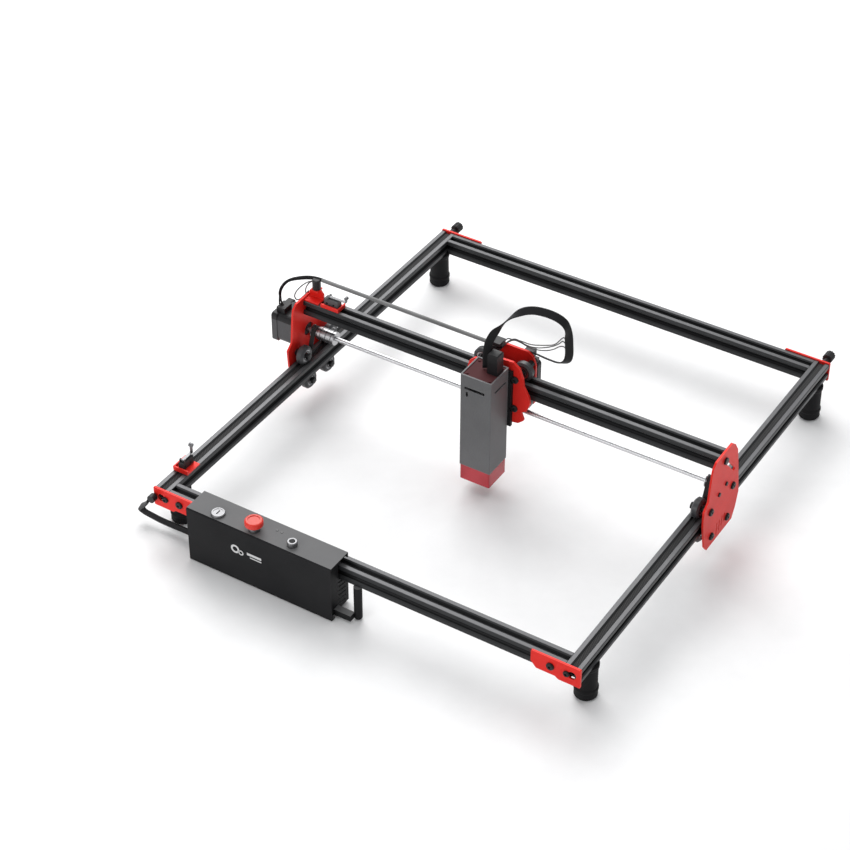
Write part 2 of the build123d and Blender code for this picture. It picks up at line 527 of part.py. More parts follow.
# ---------------------------------------------------------------- carriage
def build_carriage():
    cx = CARRIAGE_X
    right_side = [(6, 112), (24, 113), (33, 106), (38, 93), (39.5, 82), (46.5, 70), (48.5, 60),
                  (43.5, 47.5), (36.5, 44), (41, 33), (33, 26), (20, 24)]
    left_side = [(-20, 24), (-33, 26), (-40, 33), (-36.5, 44), (-42, 48), (-43.5, 60), (-41.5, 70),
                 (-38, 82), (-36, 92), (-29, 99), (-2, 103)]
    front = [(cx + s, z) for s, z in right_side + left_side]
    front_plate = plate_y(front, FRONT_PLATE_Y, CARRIAGE_T, 0)
    front_plate = fillet(front_plate.edges().filter_by(Axis.Y), 2.2)
    back_half = [(0, 103), (22, 103), (29, 98), (33, 86), (33, 30), (26, 23), (0, 23)]
    back = [(cx + s, z) for s, z in back_half] + [(cx - s, z) for s, z in back_half[::-1][1:-1]]
    back_plate = plate_y(back, BACK_PLATE_Y, CARRIAGE_T, 0)
    back_plate = fillet(back_plate.edges().filter_by(Axis.Y), 2.5)
    places = [(cx - X_WHEEL_SPREAD, X_WHEEL_TOP), (cx + X_WHEEL_SPREAD, X_WHEEL_TOP),
              (cx - X_WHEEL_SPREAD, X_WHEEL_LOW), (cx + X_WHEEL_SPREAD, X_WHEEL_LOW)]
    far = BACK_PLATE_Y + CARRIAGE_T
    screws = []
    for number, (x, z) in enumerate(places, 1):
        hole = rod_y(WHEEL_BORE, FRONT_PLATE_Y - 1, far + 1, x, z)
        front_plate -= hole
        back_plate -= hole
        bolt = button_screw_y(x, z, FRONT_PLATE_Y, -1, far - FRONT_PLATE_Y + 4)
        nut = Pos(x, far + 3.8, z) * extrude(Plane.XZ * RegularPolygon(4.4, 6), 3.75)
        screws.append(bolt + nut)
        wheel_lo, wheel_hi = BEAM_Y - WHEEL_W / 2, BEAM_Y + WHEEL_W / 2
        for y0, y1 in ((FRONT_PLATE_Y + CARRIAGE_T, wheel_lo - 0.3), (wheel_hi + 0.3, BACK_PLATE_Y)):
            screws.append(rod_y(4, y0, y1, x, z) - rod_y(WHEEL_BORE, y0 - 1, y1 + 1, x, z))
        nodes[f"x_wheel_{number}"] = wheel_y(x, BEAM_Y, z)
    back_plate -= rod_y(11, BACK_PLATE_Y - 1, far + 1, cx, X_WHEEL_LOW)
    nodes["carriage_front_plate"] = front_plate
    nodes["carriage_screws"] = group(screws)

    motor = Pos(cx, far, X_WHEEL_LOW) * Rot(90, 0, 0) * stepper(X_MOTOR_LEN)
    motor += block(cx + 3, cx + 19, far + 22, far + 31, X_WHEEL_LOW + 20, X_WHEEL_LOW + 26)
    # black clip that holds the straight cable, and the socket of the laser's cable
    clip = block(262, 273, 325, BACK_PLATE_Y, 101, 110.5) - rod_x(3.0, 261, 274, TRUNK_Y, TRUNK_Z)
    clip -= block(261, 274, 324, TRUNK_Y, TRUNK_Z - 1, TRUNK_Z + 1)
    socket = block(297, 309, far, far + 9, 93.3, 102.5)
    nodes["x_motor"] = group([motor, clip, socket])
    shaft = rod_y(AXLE_R, BEAM_Y - 6, far + 11, cx, X_WHEEL_LOW)
    drive = Pos(cx, BEAM_Y, X_WHEEL_LOW) * Rot(90, 0, 0) * pulley(8.4, AXLE_R)
    nodes["x_pulley"] = group([shaft, drive])
    band = extrude(Plane.XZ * belt_loop(PULLEY_R, X_WHEEL_SPREAD, 0.0).mirror(Plane.XZ), BELT_W)
    nodes["x_belt_loop"] = group([Pos(cx, BEAM_Y + BELT_W / 2, X_WHEEL_LOW) * band])

    nodes["carriage_back_plate"] = back_plate


# ---------------------------------------------------------------- laser head
def build_laser():
    cx = CARRIAGE_X
    x0, x1 = cx - LASER_W / 2, cx + LASER_W / 2
    y0, y1 = LASER_BACK - LASER_D, LASER_BACK
    rail = block(x0 - 4, x1 + 4, LASER_BACK + 0.5, FRONT_PLATE_Y - 0.05, 20, 101)
    for x in (cx - X_WHEEL_SPREAD, cx + X_WHEEL_SPREAD):
        for z in (X_WHEEL_TOP, X_WHEEL_LOW):
            rail -= rod_y(5.1, LASER_BACK, FRONT_PLATE_Y + 1, x, z)
    nodes["focus_rail"] = rail

    shell = block(x0, x1, y0, y1, LASER_LOW, LASER_TOP)
    shell = fillet(shell.edges().filter_by(Axis.Z), 0.9)
    shell -= block(x0 + SKIN, x1 - SKIN, y0 + SKIN, y1 - SKIN, LASER_LOW - 1, LASER_TOP + 1)
    front_slot = block(x0 + 5.5, x1 - 9, y0 - 1, y0 + 3, 86.8, 90.8)
    front_slot += block(x0 + 7.5, x0 + 10.5, y0 - 1, y0 + 3, 76.5, 84)
    side_slot = block(x1 - 3, x1 + 1, y0 + 8.5, y1 - 6, 87.6, 90.8)
    shell -= front_slot + side_slot + side_slot.moved(Location((-LASER_W + 2, 0, 0)))
    nodes["laser_housing"] = shell

    cover = block(x0 + SKIN + 0.05, x1 - SKIN - 0.05, y0 + SKIN + 0.05, y1 - SKIN - 0.05,
                  LASER_TOP - 3.0, LASER_TOP - 1.0)
    for x in (x0 + 5.5, x1 - 5.5):
        for y in (y0 + 5.5, y1 - 5.5):
            cover += rod_z(1.9, LASER_TOP - 1.0, LASER_TOP + 0.2, x, y)
    nodes["laser_cover"] = cover

    sink_lo, sink_hi = LASER_LOW + 4, 74
    sink = block(x0 + SKIN + 0.1, x1 - SKIN - 0.1, y0 + SKIN + 0.1, y1 - SKIN - 0.1, sink_lo, sink_hi)
    for step in range(7):
        x = x0 + 6.0 + step * 5.0
        sink -= block(x - 1.4, x + 1.4, y0, y0 + 14, sink_lo + 12, sink_hi + 1)
        sink -= block(x - 1.4, x + 1.4, y1 - 14, y1, sink_lo + 12, sink_hi + 1)
    sink -= rod_z(9.0, sink_lo - 1, sink_lo + 10, cx, y0 + LASER_D / 2)
    mid_y = y0 + LASER_D / 2
    hub = rod_z(7, 86, 96, cx, mid_y)
    blade = Pos(0, 10.2, 0) * Rot(0, 0, 90) * Rot(28, 0, 0) * Box(9.5, 8, 1.2)
    for turn in range(7):
        hub += Pos(cx, mid_y, 91) * Rot(0, 0, turn * 360 / 7) * blade
    hub -= rod_z(1.55, 80, 94, cx, mid_y)
    nodes["laser_fan"] = hub
    frame = block(x0 + SKIN + 0.1, x1 - SKIN - 0.1, y0 + SKIN + 0.1, y1 - SKIN - 0.1, 80, 84)
    frame -= rod_z(16.5, 79, 85, cx, mid_y)
    frame += block(cx - 19, cx + 19, mid_y - 2, mid_y + 2, 80, 82) + rod_z(4, 80, 84, cx, mid_y)
    frame += rod_z(1.5, 83, 93, cx, mid_y)
    # tall black plug on the cover, where the laser's cable starts
    plug = block(x0 + 25.4, x1 - 3, y1 - 22, y1 - 7.8, LASER_TOP - 0.95, LASER_TOP + 27)
    plug = chamfer(plug.edges().group_by(Axis.Z)[-1], 1.2)
    nodes["laser_heatsink"] = group([sink, frame, plug])
    nozzle = rod_z(8.9, LASER_LOW - 2, LASER_LOW + 13.9, cx, mid_y)
    nozzle += rod_z(6, LASER_LOW - 7, LASER_LOW - 2, cx, mid_y)
    nodes["lens_barrel"] = nozzle - rod_z(3.2, LASER_LOW - 8, LASER_LOW + 9, cx, mid_y)

    inset = 0.6
    skirt = block(x0 + inset, x1 - inset, y0 + inset, y1 - inset, SHIELD_LOW, LASER_LOW - 0.05)
    skirt = fillet(skirt.edges().filter_by(Axis.Z), 1.5)
    skirt -= block(x0 + 2.4, x1 - 2.4, y0 + 2.4, y1 - 2.4, SHIELD_LOW - 1, LASER_LOW + 1)
    collar = block(x0 + SKIN + 0.05, x1 - SKIN - 0.05, y0 + SKIN + 0.05, y1 - SKIN - 0.05,
                   LASER_LOW - 0.06, LASER_LOW + 3)
    collar -= block(x0 + 3, x1 - 3, y0 + 3, y1 - 3, LASER_LOW - 1, LASER_LOW + 4)
    nodes["laser_shield"] = skirt + collar
    grip = rod_x(5.5, x0 - 13, x0 - 6, LASER_BACK - 6, 60)
    grip = chamfer(grip.edges().group_by(Axis.X)[0], 0.8)
    nodes["focus_screw"] = grip + rod_x(2, x0 - 6, x0 - 0.3, LASER_BACK - 6, 60)


# ---------------------------------------------------------------- Y limit switch and cables
def build_rail_switch():
    body_top = 12.6
    body = block(6, 13, 38.5, 58.5, 2, body_top) + rod_x(1.5, 13, 14, 43, 5.5) + rod_x(1.5, 13, 14, 54, 5.5)
    for x in (6, 11.8):
        body += block(x, x + 1.2, 40.6, 43.4, body_top, body_top + 3.4)
    nodes["y_switch"] = body - rod_x(0.87, 5, 14, 42, body_top + 2.3)
    lever = block(7.5, 11.5, 42, 60, body_top + 2.05, body_top + 2.55)
    lever += rod_x(0.8, 6.2, 12.8, 42, body_top + 2.3)
    lever += block(7.5, 11.5, 59.5, 60.2, body_top + 2.05, 24)
    nodes["y_switch_lever"] = lever + rod_x(2.6, 7.3, 11.7, 59.9, 25.6)


BOX_LEAD = [(62.9, 6.5, -58.5), (40, 7, -57.4), (19, 7, -57.9), (0, 7, -58.4), (-18, 7.5, -57.4),
            (-31, 6, -54.5), (-36, 3, -47.5), (-27, 0, -39.5), (-15, -3.5, -29), (-5.6, -6.6, -18)]
LASER_RIBBON = [(281.5, 281, 107.8), (279.5, 284, 128), (281, 290, 146), (290.5, 300, 162.4),
                (303.1, 305.7, 178.4), (319.7, 310.9, 188.2), (336.8, 315.9, 188.2), (351.5, 320.5, 183),
                (360.4, 324.2, 172.6), (362, 329.1, 149.5), (360.4, 334.3, 122.4), (352.1, 337.9, 108.5),
                (332.5, 342.6, 100.5), (310.4, 346.4, 98.2)]


def build_cables():
    nodes["box_lead"] = lead(BOX_LEAD, 4.0, "box lead")
    nodes["trunk_cable"] = rod_x(2.5, 16, 267, TRUNK_Y, TRUNK_Z)
    nodes["laser_ribbon"] = lead(LASER_RIBBON, 4.0, "laser ribbon")


# ---------------------------------------------------------------- footprint origin and writing
CORD_NODES = ("box_lead", "laser_ribbon")


def place_all():
    """Move every node so that the origin is the centre of the footprint, at floor level."""
    whole = Compound([shape for name, shape in nodes.items() if name not in CORD_NODES])
    limits = whole.bounding_box()
    middle = (limits.min + limits.max) / 2
    shift = Location((-middle.X, -middle.Y, -limits.min.Z))
    return shift, {name: shape.moved(shift) for name, shape in nodes.items()}


build_frame()
build_control_box()
build_gantry()
build_carriage()
build_laser()
build_rail_switch()
build_cables()
shift, placed = place_all()

os.makedirs("parts", exist_ok=True)
for name, shape in placed.items():
    export_step(shape, f"parts/{name}.step")
print(len(placed), "nodes; origin shift", [round(v, 3) for v in shift.position])
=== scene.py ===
from math import cos, pi, sin

import bmesh
import bpy
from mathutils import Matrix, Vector


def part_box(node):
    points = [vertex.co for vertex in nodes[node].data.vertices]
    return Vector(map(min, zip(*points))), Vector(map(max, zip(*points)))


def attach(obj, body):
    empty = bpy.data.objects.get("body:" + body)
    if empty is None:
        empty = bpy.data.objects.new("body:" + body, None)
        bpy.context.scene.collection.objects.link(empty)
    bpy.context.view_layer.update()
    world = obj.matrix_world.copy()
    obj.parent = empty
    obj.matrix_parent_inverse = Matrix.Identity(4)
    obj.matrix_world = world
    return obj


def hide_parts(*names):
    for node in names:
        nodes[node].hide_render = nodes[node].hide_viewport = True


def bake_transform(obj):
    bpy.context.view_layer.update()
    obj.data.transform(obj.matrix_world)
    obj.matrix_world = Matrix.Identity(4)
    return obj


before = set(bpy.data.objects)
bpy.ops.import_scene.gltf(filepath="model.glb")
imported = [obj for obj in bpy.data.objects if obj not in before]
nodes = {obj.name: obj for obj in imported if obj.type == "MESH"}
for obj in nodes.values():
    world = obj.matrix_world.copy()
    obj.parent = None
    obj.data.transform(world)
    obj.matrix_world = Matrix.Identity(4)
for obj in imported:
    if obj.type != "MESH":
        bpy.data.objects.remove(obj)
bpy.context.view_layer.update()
scene = bpy.context.scene

# The layout below is given in millimetres from the frame's front left corner at rail-top height.
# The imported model's origin is the centre of the footprint on the bench.
SHIFT = Vector((-267.35, -321.75, 68.5))

SWITCH_FROM_X = 26.0        # the limit switch on the beam starts here, and the cable clamp ends before it
INLET_TO_X = 75.0           # the power inlet is at the left end of the circuit board
SINK_TOP_Z = 77.0           # above this the heatsink's node is black plastic
MOTOR_CAP = 8.05            # thickness of a motor's end caps
Y_MOTOR_BAND_Z = 33.5       # the gantry motor is black from this height above its underside
X_MOTOR_BACK_Y = 342.0      # the carriage motor's end cap starts here
X_MOTOR_LENGTH = 33.0
SHAFT_THREAD_RADIUS = 3.2   # the drive shaft is thinner than this, its coupling and pulleys are thicker
RING_SPAN = 20.0            # radius that the ring finishes are spread over
TRUNK_X = (16.0, 267.0)     # straight cable above the beam
TRUNK_Y, TRUNK_Z = 329.0, 105.0
TRUNK_STEPS = 60
BOX_FACE_Y = -21.02         # front of the control box
MARK_RELIEF = 0.12          # how far the printed mark stands out
FLOOR_Z = -0.0003           # metres, just under the feet


def at(x, y, z):
    return (Vector((x, y, z)) + SHIFT) / 1000.0


def mm(value):
    return value / 1000.0


# ------------------------------------------------------------------ camera
camera_data = bpy.data.cameras.new("camera")
camera_data.lens = 95.3
camera_data.sensor_width = 36.0
camera_data.clip_end = 50.0
camera = bpy.data.objects.new("camera", camera_data)
scene.collection.objects.link(camera)
camera.location = at(1338.6, -1533.9, 1698.1)
aim = at(205.8, 265.7, 0.0)
camera.rotation_euler = (aim - camera.location).to_track_quat("-Z", "Y").to_euler()
scene.camera = camera


# ------------------------------------------------------------------ material helpers
class Shader:
    """A node material under construction."""

    def __init__(self, name):
        self.mat = bpy.data.materials.new(name)
        self.mat.use_nodes = True
        self.tree = self.mat.node_tree
        self.bsdf = self.tree.nodes["Principled BSDF"]
        self.coords = self.add("ShaderNodeTexCoord")

    def add(self, kind, **settings):
        node = self.tree.nodes.new(kind)
        for key, value in settings.items():
            setattr(node, key, value)
        return node

    def link(self, source, target):
        self.tree.links.new(source, target)

    def mapping(self, scale):
        node = self.add("ShaderNodeMapping")
        node.inputs["Scale"].default_value = scale
        self.link(self.coords.outputs["Object"], node.inputs["Vector"])
        return node.outputs["Vector"]

    def noise(self, vector, scale, detail=4.0, rough=0.6):
        node = self.add("ShaderNodeTexNoise")
        node.inputs["Scale"].default_value = scale
        node.inputs["Detail"].default_value = detail
        node.inputs["Roughness"].default_value = rough
        self.link(vector, node.inputs["Vector"])
        return node.outputs["Fac"]

    def spread(self, value, low, high, start=0.3, end=0.7):
        node = self.add("ShaderNodeMapRange")
        node.inputs["From Min"].default_value = start
        node.inputs["From Max"].default_value = end
        node.inputs["To Min"].default_value = low
        node.inputs["To Max"].default_value = high
        self.link(value, node.inputs["Value"])
        return node.outputs["Result"]

    def ramp(self, value, stops, constant=False):
        node = self.add("ShaderNodeValToRGB")
        ramp = node.color_ramp
        ramp.interpolation = "CONSTANT" if constant else "LINEAR"
        while len(ramp.elements) < len(stops):
            ramp.elements.new(0.5)
        for element, (place, colour) in zip(ramp.elements, stops):
            element.position = place
            element.color = (*colour, 1.0)
        self.link(value, node.inputs["Fac"])
        return node.outputs["Color"]

    def mix(self, factor, first, second):
        node = self.add("ShaderNodeMix", data_type="RGBA")
        self.link(factor, node.inputs["Factor"])
        for socket, value in (("A", first), ("B", second)):
            target = [s for s in node.inputs if s.name == socket and s.type == "RGBA"][0]
            if isinstance(value, tuple):
                target.default_value = (*value, 1.0)
            else:
                self.link(value, target)
        return [s for s in node.outputs if s.type == "RGBA"][0]

    def math(self, operation, first, second=0.0, third=0.0):
        node = self.add("ShaderNodeMath", operation=operation)
        for socket, value in zip(node.inputs, (first, second, third)):
            if isinstance(value, (int, float)):
                socket.default_value = value
            else:
                self.link(value, socket)
        return node.outputs["Value"]

    def bump(self, height, distance, strength=1.0, normal=None):
        node = self.add("ShaderNodeBump")
        node.inputs["Strength"].default_value = strength
        node.inputs["Distance"].default_value = distance
        self.link(height, node.inputs["Height"])
        if normal is not None:
            self.link(normal, node.inputs["Normal"])
        self.link(node.outputs["Normal"], self.bsdf.inputs["Normal"])
        return node.outputs["Normal"]

    def set(self, **values):
        names = {"rough": "Roughness", "metal": "Metallic", "coat": "Coat Weight",
                 "coat_rough": "Coat Roughness", "spec": "Specular IOR Level", "ior": "IOR",
                 "through": "Transmission Weight", "alpha": "Alpha", "sheen": "Sheen Weight"}
        for key, value in values.items():
            self.bsdf.inputs[names[key]].default_value = value
        return self

    def colour(self, value):
        self.link(value, self.bsdf.inputs["Base Color"])

    def roughness(self, value):
        self.link(value, self.bsdf.inputs["Roughness"])


def surface(name, dark, light, rough=(0.35, 0.5), metal=0.0, grain=400.0, stretch=(1, 1, 1), bump=2e-5,
            blotch=14.0, **more):
    """Everyday finish: slow colour drift, a fine grain in the roughness and a shallow bump."""
    s = Shader(name)
    s.set(metal=metal, **more)
    plain = s.mapping((1, 1, 1))
    drift = s.noise(plain, blotch, 5.0)
    fine = s.noise(s.mapping(stretch), grain, 3.0)
    blend = s.math("ADD", s.math("MULTIPLY", drift, 0.65), s.math("MULTIPLY", fine, 0.35))
    s.colour(s.ramp(blend, [(0.36, dark), (0.62, light)]))
    s.roughness(s.spread(fine, rough[0], rough[1]))
    s.bump(fine, bump)
    return s


def paint_edge_highlight(s, colour, amount=0.5, radius=0.0006):
    """Painted edge highlight: paler edges, where the bevelled normal leaves the flat one."""
    bevel = s.add("ShaderNodeBevel", samples=4)
    bevel.inputs["Radius"].default_value = radius
    geometry = s.add("ShaderNodeNewGeometry")
    dot = s.add("ShaderNodeVectorMath", operation="DOT_PRODUCT")
    s.link(bevel.outputs["Normal"], dot.inputs[0])
    s.link(geometry.outputs["Normal"], dot.inputs[1])
    edge = s.spread(dot.outputs["Value"], amount, 0.0, 0.82, 0.985)
    base = s.bsdf.inputs["Base Color"].links[0].from_socket
    # painted highlight along the edges
    s.colour(s.mix(edge, base, colour))
    return s


def paint(node, shader):
    """Give a CAD node its material."""
    obj = nodes[node]
    if not obj.material_slots:
        obj.data.materials.append(shader.mat)
    for slot in obj.material_slots:
        slot.material = shader.mat


def paint_top_light(s, colour, amount=1.0, start=0.75):
    """Painted top light: faces that look up are painted paler towards the given colour, a little broken up by
    noise.
    """
    geometry = s.add("ShaderNodeNewGeometry")
    split = s.add("ShaderNodeSeparateXYZ")
    s.link(geometry.outputs["Normal"], split.inputs["Vector"])
    top_light = s.spread(split.outputs["Z"], 0.0, amount, start, 1.0)
    cloud = s.spread(s.noise(s.mapping((1, 1, 1)), 18.0), 0.88, 1.0)
    base = s.bsdf.inputs["Base Color"].links[0].from_socket
    # painted light: the more a face looks up, the more it takes the paler colour
    s.colour(s.mix(s.math("MULTIPLY", top_light, cloud), base, colour))
    return s


def paint_groove_shade(s, depth, reach=0.007, spec=0.4):
    """Painted shade: grooves and corners are darkened in colour and in sheen, from the ambient occlusion."""
    nearby = s.add("ShaderNodeAmbientOcclusion", samples=8)
    nearby.inputs["Distance"].default_value = reach
    unshaded_share = s.spread(nearby.outputs["AO"], depth, 1.0, 0.35, 0.85)
    base = s.bsdf.inputs["Base Color"].links[0].from_socket
    # painted shade: colour and specular drop where the ambient occlusion finds nearby surfaces
    s.colour(s.mix(unshaded_share, (0.002, 0.002, 0.002), base))
    s.link(s.math("MULTIPLY", unshaded_share, spec), s.bsdf.inputs["Specular IOR Level"])
    return s


# ------------------------------------------------------------------ materials
black_x = surface("anodised_black_x", (0.020, 0.021, 0.022), (0.034, 0.035, 0.037), (0.34, 0.46), 0.30, 2600,
                  (0.03, 1, 1), 1.2e-5, spec=0.35)
# painted top light on the profiles' upper faces and painted shade in their grooves
paint_top_light(black_x, (0.12, 0.12, 0.125), 0.8)
paint_groove_shade(black_x, 0.12, spec=0.26)
black_y = surface("anodised_black_y", (0.020, 0.021, 0.022), (0.034, 0.035, 0.037), (0.34, 0.46), 0.35, 2600,
                  (1, 0.03, 1), 1.2e-5, spec=0.45)
# painted top light on the rails' upper faces and painted shade in their grooves
paint_top_light(black_y, (0.12, 0.12, 0.125), 0.8)
paint_groove_shade(black_y, 0.12, spec=0.42)
red = surface("anodised_red", (0.66, 0.014, 0.010), (0.78, 0.024, 0.016), (0.36, 0.48), 0.15, 900,
              (1, 1, 1), 1.5e-5, 22.0, spec=0.22)
# painted highlight along the red plates' edges
paint_edge_highlight(red, (0.86, 0.20, 0.16), 0.5, 0.0007)
powder = surface("powder_black", (0.009, 0.009, 0.010), (0.017, 0.017, 0.018), (0.48, 0.62), 0.0, 1700,
                 (1, 1, 1), 4e-5, 9.0, spec=0.10)
# painted highlight on the box's edges and painted top light on its upper faces
paint_edge_highlight(powder, (0.045, 0.045, 0.048), 0.3, 0.0009)
paint_top_light(powder, (0.15, 0.15, 0.152), 1.0)
inner_black = surface("satin_black", (0.006, 0.006, 0.007), (0.012, 0.012, 0.013), (0.5, 0.65), 0.0, 1500,
                      spec=0.2)
grey = surface("grey_housing", (0.115, 0.115, 0.118), (0.150, 0.150, 0.154), (0.42, 0.54), 0.1, 1500,
               (1, 1, 0.15), 1.5e-5, 8.0, spec=0.2)
# painted highlight along the laser housing's edges
paint_edge_highlight(grey, (0.42, 0.42, 0.43), 0.5, 0.0006)
maroon = surface("maroon_cover", (0.060, 0.016, 0.018), (0.085, 0.026, 0.028), (0.62, 0.74), 0.0, 1500,
                 spec=0.12)
steel = surface("zinc_steel", (0.46, 0.46, 0.47), (0.60, 0.60, 0.60), (0.26, 0.42), 1.0, 1200, bump=1e-5)
dark_steel = surface("black_oxide", (0.010, 0.010, 0.011), (0.024, 0.024, 0.025), (0.32, 0.46), 0.3, 1200,
                     spec=0.3)
# painted highlight along the screw heads' edges
paint_edge_highlight(dark_steel, (0.12, 0.12, 0.125), 0.35, 0.0004)
bright = surface("bright_plate", (0.17, 0.17, 0.175), (0.25, 0.25, 0.255), (0.38, 0.50), 1.0, 800, bump=6e-6)
plastic = surface("black_plastic", (0.008, 0.008, 0.009), (0.018, 0.018, 0.019), (0.42, 0.56), 0.0, 1400,
                  bump=3e-5, spec=0.3)
lever = surface("lever_steel", (0.10, 0.10, 0.105), (0.20, 0.20, 0.205), (0.3, 0.42), 0.9, 1200)
rubber = surface("foot_rubber", (0.006, 0.006, 0.0065), (0.013, 0.013, 0.014), (0.55, 0.72), 0.0, 1100,
                 bump=5e-5, spec=0.15)
red_cap = surface("red_cap", (0.58, 0.022, 0.014), (0.70, 0.036, 0.022), (0.30, 0.42), 0.0, 700, coat=0.08,
                  spec=0.28)
# painted highlight on the top of the stop head
paint_top_light(red_cap, (0.60, 0.10, 0.07), 0.45, 0.9)
brass = surface("lens_brass", (0.55, 0.38, 0.16), (0.70, 0.52, 0.26), (0.2, 0.32), 1.0, 900)
jacket = surface("cable_jacket", (0.006, 0.006, 0.007), (0.013, 0.013, 0.014), (0.42, 0.56), 0.0, 1500,
                 bump=3e-5, spec=0.2)
sleeve = surface("braided_sleeve", (0.10, 0.10, 0.10), (0.20, 0.20, 0.20), (0.45, 0.6), 0.0, 2200,
                 bump=8e-5, spec=0.3)
wire_grey = surface("thin_wire", (0.05, 0.05, 0.05), (0.12, 0.12, 0.12), (0.4, 0.55), 0.0, 1800, spec=0.3)
mark = surface("pale_print", (0.55, 0.55, 0.55), (0.68, 0.68, 0.68), (0.5, 0.65), 0.0, 1500, spec=0.2)

# belt: teeth across its length
belt = Shader("toothed_belt").set(metal=0.0, spec=0.35)
teeth = belt.add("ShaderNodeTexWave", wave_type="BANDS", bands_direction="DIAGONAL")
teeth.inputs["Scale"].default_value = 220.0
teeth.inputs["Distortion"].default_value = 0.0
belt.link(belt.coords.outputs["Object"], teeth.inputs["Vector"])
belt.colour(belt.ramp(teeth.outputs["Fac"], [(0.2, (0.010, 0.010, 0.010)), (0.8, (0.030, 0.030, 0.031))]))
belt.roughness(belt.spread(belt.noise(belt.mapping((1, 1, 1)), 900), 0.6, 0.8))
belt.bump(teeth.outputs["Fac"], 4e-4)

# drive shaft: fine lines round it, as on a lead screw
thread = Shader("shaft_thread").set(metal=1.0)
rings = thread.add("ShaderNodeTexWave", wave_type="BANDS", bands_direction="X")
rings.inputs["Scale"].default_value = 160.0
rings.inputs["Distortion"].default_value = 0.0
thread.link(thread.coords.outputs["Object"], rings.inputs["Vector"])
grime = thread.noise(thread.mapping((1, 6, 6)), 120)
shaft_low, shaft_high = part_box("cross_shaft")
shaft_mid = (shaft_low + shaft_high) / 2
from_axis = thread.add("ShaderNodeVectorMath", operation="SUBTRACT")
thread.link(thread.coords.outputs["Object"], from_axis.inputs[0])
from_axis.inputs[1].default_value = shaft_mid
across = thread.add("ShaderNodeVectorMath", operation="MULTIPLY")
thread.link(from_axis.outputs["Vector"], across.inputs[0])
across.inputs[1].default_value = (0, 1, 1)
off_axis = thread.add("ShaderNodeVectorMath", operation="LENGTH")
thread.link(across.outputs["Vector"], off_axis.inputs[0])
slim = thread.math("LESS_THAN", off_axis.outputs["Value"], mm(SHAFT_THREAD_RADIUS))
shaft_colour = thread.mix(grime, thread.ramp(rings.outputs["Fac"], [(0.1, (0.42, 0.42, 0.43)),
                                                                    (0.7, (0.78, 0.78, 0.79))]),
                          (0.66, 0.66, 0.67))
thread.colour(thread.mix(slim, (0.40, 0.40, 0.41), shaft_colour))
thread.roughness(thread.spread(grime, 0.24, 0.38))
thread.bump(thread.math("MULTIPLY", rings.outputs["Fac"], slim), 1.6e-4, 0.8)


def radial(name, axis, centre, stops):
    """Rings of different finish about an axis through centre. stops: (radius in mm, colour, metal, rough)."""
    s = Shader(name)
    offset = s.add("ShaderNodeVectorMath", operation="SUBTRACT")
    s.link(s.coords.outputs["Object"], offset.inputs[0])
    offset.inputs[1].default_value = centre
    flat = s.add("ShaderNodeVectorMath", operation="MULTIPLY")
    s.link(offset.outputs["Vector"], flat.inputs[0])
    flat.inputs[1].default_value = (0, 1, 1) if axis == "X" else (1, 0, 1)
    length = s.add("ShaderNodeVectorMath", operation="LENGTH")
    s.link(flat.outputs["Vector"], length.inputs[0])
    scaled = s.math("MULTIPLY", length.outputs["Value"], 1000.0 / RING_SPAN)
    grain = s.noise(s.mapping((1, 1, 1)), 1200)
    base = s.ramp(scaled, [(r / RING_SPAN, c) for r, c, m, k in stops], True)
    s.colour(s.mix(s.spread(grain, 0.0, 0.35), base, (0.05, 0.05, 0.052)))
    metal = s.ramp(scaled, [(r / RING_SPAN, (m, m, m)) for r, c, m, k in stops], True)
    s.link(metal, s.bsdf.inputs["Metallic"])
    rough = s.ramp(scaled, [(r / RING_SPAN, (k, k, k)) for r, c, m, k in stops], True)
    s.roughness(rough)
    s.bump(grain, 2e-5)
    return s


def centre_of(node):
    low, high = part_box(node)
    return (low + high) / 2


WHEEL_STOPS = [(0.0, (0.42, 0.42, 0.43), 1.0, 0.3), (3.7, (0.50, 0.50, 0.51), 1.0, 0.25),
               (4.1, (0.06, 0.06, 0.065), 0.2, 0.5), (6.4, (0.45, 0.45, 0.46), 1.0, 0.28),
               (8.0, (0.030, 0.031, 0.034), 0.0, 0.42)]


def motor_finish(name, axis, start, length, black_above=None):
    """Black end caps, or a black band along the top, and a stack of laminations elsewhere."""
    s = Shader(name)
    split = s.add("ShaderNodeSeparateXYZ")
    s.link(s.coords.outputs["Object"], split.inputs["Vector"])
    along = s.math("SUBTRACT", split.outputs[axis], start)
    place = s.math("DIVIDE", along, length)
    core = s.ramp(place, [(0.0, (0, 0, 0)), (MOTOR_CAP / (length * 1000), (1, 1, 1)),
                          (1 - MOTOR_CAP / (length * 1000), (0, 0, 0))], True)
    if black_above is not None:
        core = s.math("LESS_THAN", split.outputs["Z"], black_above)
    sheets = s.add("ShaderNodeTexWave", wave_type="BANDS", bands_direction=axis)
    sheets.inputs["Scale"].default_value = 320.0
    s.link(s.coords.outputs["Object"], sheets.inputs["Vector"])
    grain = s.noise(s.mapping((1, 1, 1)), 700)
    caps = s.ramp(grain, [(0.35, (0.007, 0.007, 0.008)), (0.65, (0.016, 0.016, 0.017))])
    stack = s.ramp(sheets.outputs["Fac"], [(0.2, (0.050, 0.050, 0.052)), (0.8, (0.11, 0.11, 0.115))])
    s.set(spec=0.25)
    s.colour(s.mix(core, caps, stack))
    s.link(s.math("MULTIPLY", core, 0.7), s.bsdf.inputs["Metallic"])
    s.roughness(s.spread(grain, 0.34, 0.5))
    s.bump(s.math("MULTIPLY", sheets.outputs["Fac"], core), 6e-5)
    return s


